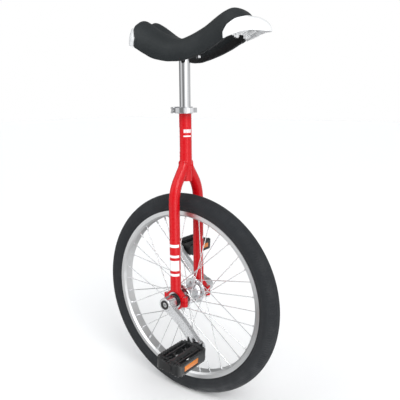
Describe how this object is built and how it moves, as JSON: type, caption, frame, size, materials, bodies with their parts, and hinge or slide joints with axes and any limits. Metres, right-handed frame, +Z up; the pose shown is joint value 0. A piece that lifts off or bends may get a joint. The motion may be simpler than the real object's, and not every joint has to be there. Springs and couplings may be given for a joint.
{
  "type": "unicycle",
  "caption": "Unicycle with a spoked wheel, curved steel fork, quick release seat clamp, forged cranks, cage pedals with reflectors and a curved padded saddle with end mouldings.",
  "frame": {"origin": "on the ground directly under the axle, where the tyre touches", "axes": "+X forward, +Y to the rider's left along the axle, +Z up"},
  "size_m": [0.504, 0.414, 0.9086],
  "materials": {
    "frame_paint": "high gloss red enamel over steel tube",
    "zinc_steel": "bright zinc plate",
    "bearing_steel": "ground bearing steel",
    "black_rubber": "matt moulded rubber",
    "silver_alloy": "satin",
    "grey_plastic": "matt",
    "chrome_steel": "bright chrome plate",
    "brass_cage": "pressed",
    "dark_steel": "blackened",
    "hub_alloy": "turned and polished",
    "stainless_spoke": "drawn stainless wire",
    "rim_alloy": "satin anodised",
    "tube_rubber": "soft butyl",
    "tyre_rubber": "matt moulded rubber with fine ribs",
    "forged_alloy": "forged and polished",
    "black_plastic": "moulded, fine grain",
    "amber_reflector": "clear moulded prisms",
    "foam": "open cell foam",
    "black_vinyl": "soft vinyl, low sheen",
    "white_plastic": "moulded, soft gloss"
  },
  "bodies": {
    "frame": {"seat_tube": "frame_paint", "fork_leg_right": "frame_paint", "fork_leg_left": "frame_paint", "bearing_holder_right": "frame_paint", "bearing_holder_left": "frame_paint", "bearing_cap_right": "frame_paint", "bearing_cap_left": "frame_paint", "cap_bolts": "zinc_steel", "outer_races": "bearing_steel", "bearing_seals": "black_rubber", "clamp_collar": "silver_alloy", "clamp_skewer": "zinc_steel", "cam_washer": "grey_plastic", "cam_pin": "zinc_steel"},
    "release_lever": {"release_lever": "chrome_steel"},
    "thumb_nut": {"thumb_nut": "silver_alloy"},
    "bearing_cage_right": {"bearing_cage_right": "brass_cage", "bearing_balls_right": "bearing_steel"},
    "bearing_cage_left": {"bearing_cage_left": "brass_cage", "bearing_balls_left": "bearing_steel"},
    "wheel": {"axle": "dark_steel", "hub_shell": "hub_alloy", "inner_races": "bearing_steel", "bearing_spacers": "dark_steel", "axle_collars": "dark_steel", "spokes": "stainless_spoke", "nipples": "zinc_steel", "rim": "rim_alloy", "rim_tape": "grey_plastic", "inner_tube": "tube_rubber", "valve_stem": "black_rubber", "valve_nut": "zinc_steel", "tyre": "tyre_rubber", "crank_right": "forged_alloy", "crank_left": "forged_alloy", "crank_bolts": "zinc_steel", "dust_caps": "black_plastic", "pedal_spindle_right": "dark_steel", "pedal_spindle_left": "dark_steel"},
    "pedal_right": {"pedal_body_right": "black_plastic", "pedal_bearings_right": "bearing_steel", "pedal_reflectors_right": "amber_reflector", "pedal_end_cap_right": "black_plastic"},
    "pedal_left": {"pedal_body_left": "black_plastic", "pedal_bearings_left": "bearing_steel", "pedal_reflectors_left": "amber_reflector", "pedal_end_cap_left": "black_plastic"},
    "seat": {"seat_post": "chrome_steel", "saddle_plate": "dark_steel", "saddle_base": "black_plastic", "saddle_foam": "foam", "saddle_cover": "black_vinyl", "front_handle": "white_plastic", "rear_bumper": "white_plastic", "saddle_bolts": "zinc_steel", "saddle_nuts": "zinc_steel", "handle_screws": "zinc_steel"}
  },
  "joints": [
    {"name": "wheel_spin", "type": "hinge", "parent": "frame", "child": "wheel", "pos_m": [0, 0, 0.252], "axis": [0, 1, 0], "continuous": true},
    {"name": "cage_spin_right", "type": "hinge", "parent": "frame", "child": "bearing_cage_right", "pos_m": [0, -0.046, 0.252], "axis": [0, 1, 0], "continuous": true},
    {"name": "cage_spin_left", "type": "hinge", "parent": "frame", "child": "bearing_cage_left", "pos_m": [0, 0.046, 0.252], "axis": [0, 1, 0], "continuous": true},
    {"name": "pedal_spin_right", "type": "hinge", "parent": "wheel", "child": "pedal_right", "pos_m": [0.10239, -0.15, 0.1803], "axis": [0, 1, 0], "continuous": true},
    {"name": "pedal_spin_left", "type": "hinge", "parent": "wheel", "child": "pedal_left", "pos_m": [-0.10239, 0.15, 0.3237], "axis": [0, 1, 0], "continuous": true},
    {"name": "seat_height", "type": "slide", "parent": "frame", "child": "seat", "axis": [0, 0, 1], "range_m": [-0.07, 0.03]},
    {"name": "lever_swing", "type": "hinge", "parent": "frame", "child": "release_lever", "pos_m": [-0.021, -0.01805, 0.699], "axis": [0, 0, -1], "range_deg": [0, 170]},
    {"name": "nut_turn", "type": "hinge", "parent": "frame", "child": "thumb_nut", "pos_m": [-0.021, 0.014, 0.699], "axis": [0, 1, 0], "range_deg": [-360, 0]}
  ],
  "couplings": [
    {"joint": "cage_spin_right", "follows": "wheel_spin", "ratio": 0.3816},
    {"joint": "cage_spin_left", "follows": "wheel_spin", "ratio": 0.3816}
  ]
}
